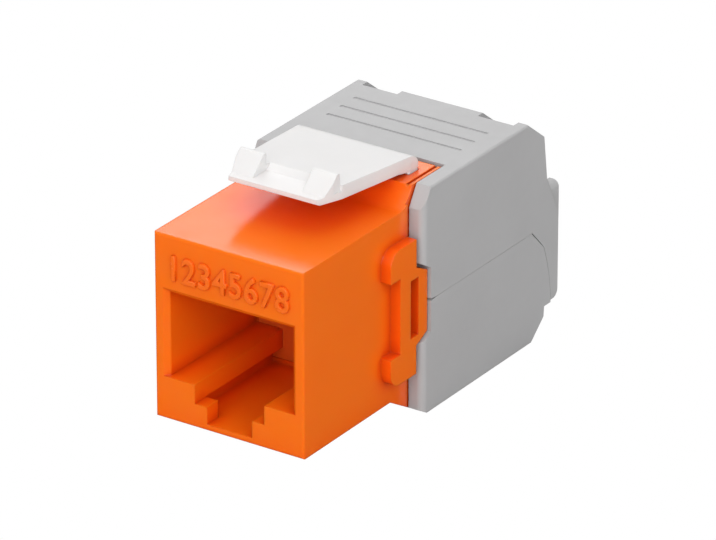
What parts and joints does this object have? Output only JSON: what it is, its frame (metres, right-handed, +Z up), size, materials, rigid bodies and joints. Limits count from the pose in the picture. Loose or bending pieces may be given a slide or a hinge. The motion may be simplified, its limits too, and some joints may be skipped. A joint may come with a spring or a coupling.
{
  "type": "keystone jack",
  "caption": "Keystone network jack: square nose with a plug port, sprung keystone latch on top, and hinged rear caps that press wires into slotted blades.",
  "frame": {"origin": "middle of the jack across and front to back, on the surface it rests on", "axes": "+Z up with the latch on top, -Y is the way the plug port faces, X across"},
  "size_m": [0.017, 0.0364, 0.0234],
  "materials": {
    "orange_housing": "gloss",
    "white_latch": "satin",
    "grey_cap": "fine matte",
    "dark_carrier": "satin",
    "board": "solder mask",
    "terminal_block": "satin",
    "cable_guide": "satin",
    "wire_comb": "satin",
    "gold_contact": "gold plated",
    "tinned_blade": "tin plated"
  },
  "bodies": {
    "housing": {"housing": "orange_housing", "contact_carrier": "dark_carrier", "circuit_board": "board", "terminal_block": "terminal_block", "cable_guide": "cable_guide", "spring_contact_1": "gold_contact", "spring_contact_2": "gold_contact", "spring_contact_3": "gold_contact", "spring_contact_4": "gold_contact", "spring_contact_5": "gold_contact", "spring_contact_6": "gold_contact", "spring_contact_7": "gold_contact", "spring_contact_8": "gold_contact", "idc_contact_1": "tinned_blade", "idc_contact_2": "tinned_blade", "idc_contact_3": "tinned_blade", "idc_contact_4": "tinned_blade", "idc_contact_5": "tinned_blade", "idc_contact_6": "tinned_blade", "idc_contact_7": "tinned_blade", "idc_contact_8": "tinned_blade"},
    "latch": {"keystone_latch": "white_latch"},
    "upper_cap": {"upper_cap": "grey_cap", "upper_wire_comb": "wire_comb"},
    "lower_cap": {"lower_cap": "grey_cap", "lower_wire_comb": "wire_comb"}
  },
  "joints": [
    {"name": "latch_flex", "type": "hinge", "parent": "housing", "child": "latch", "pos_m": [0, 0.00005, 0.0199], "axis": [1, 0, 0], "range_deg": [0, 8], "stiffness_Nm_per_rad": 0.4, "springref_deg": -1.15},
    {"name": "upper_cap_hinge", "type": "hinge", "parent": "housing", "child": "upper_cap", "pos_m": [0, -0.00065, 0.01845], "axis": [1, 0, 0], "range_deg": [0, 80]},
    {"name": "lower_cap_hinge", "type": "hinge", "parent": "housing", "child": "lower_cap", "pos_m": [0, -0.00065, 0.00185], "axis": [-1, 0, 0], "range_deg": [0, 80]}
  ]
}
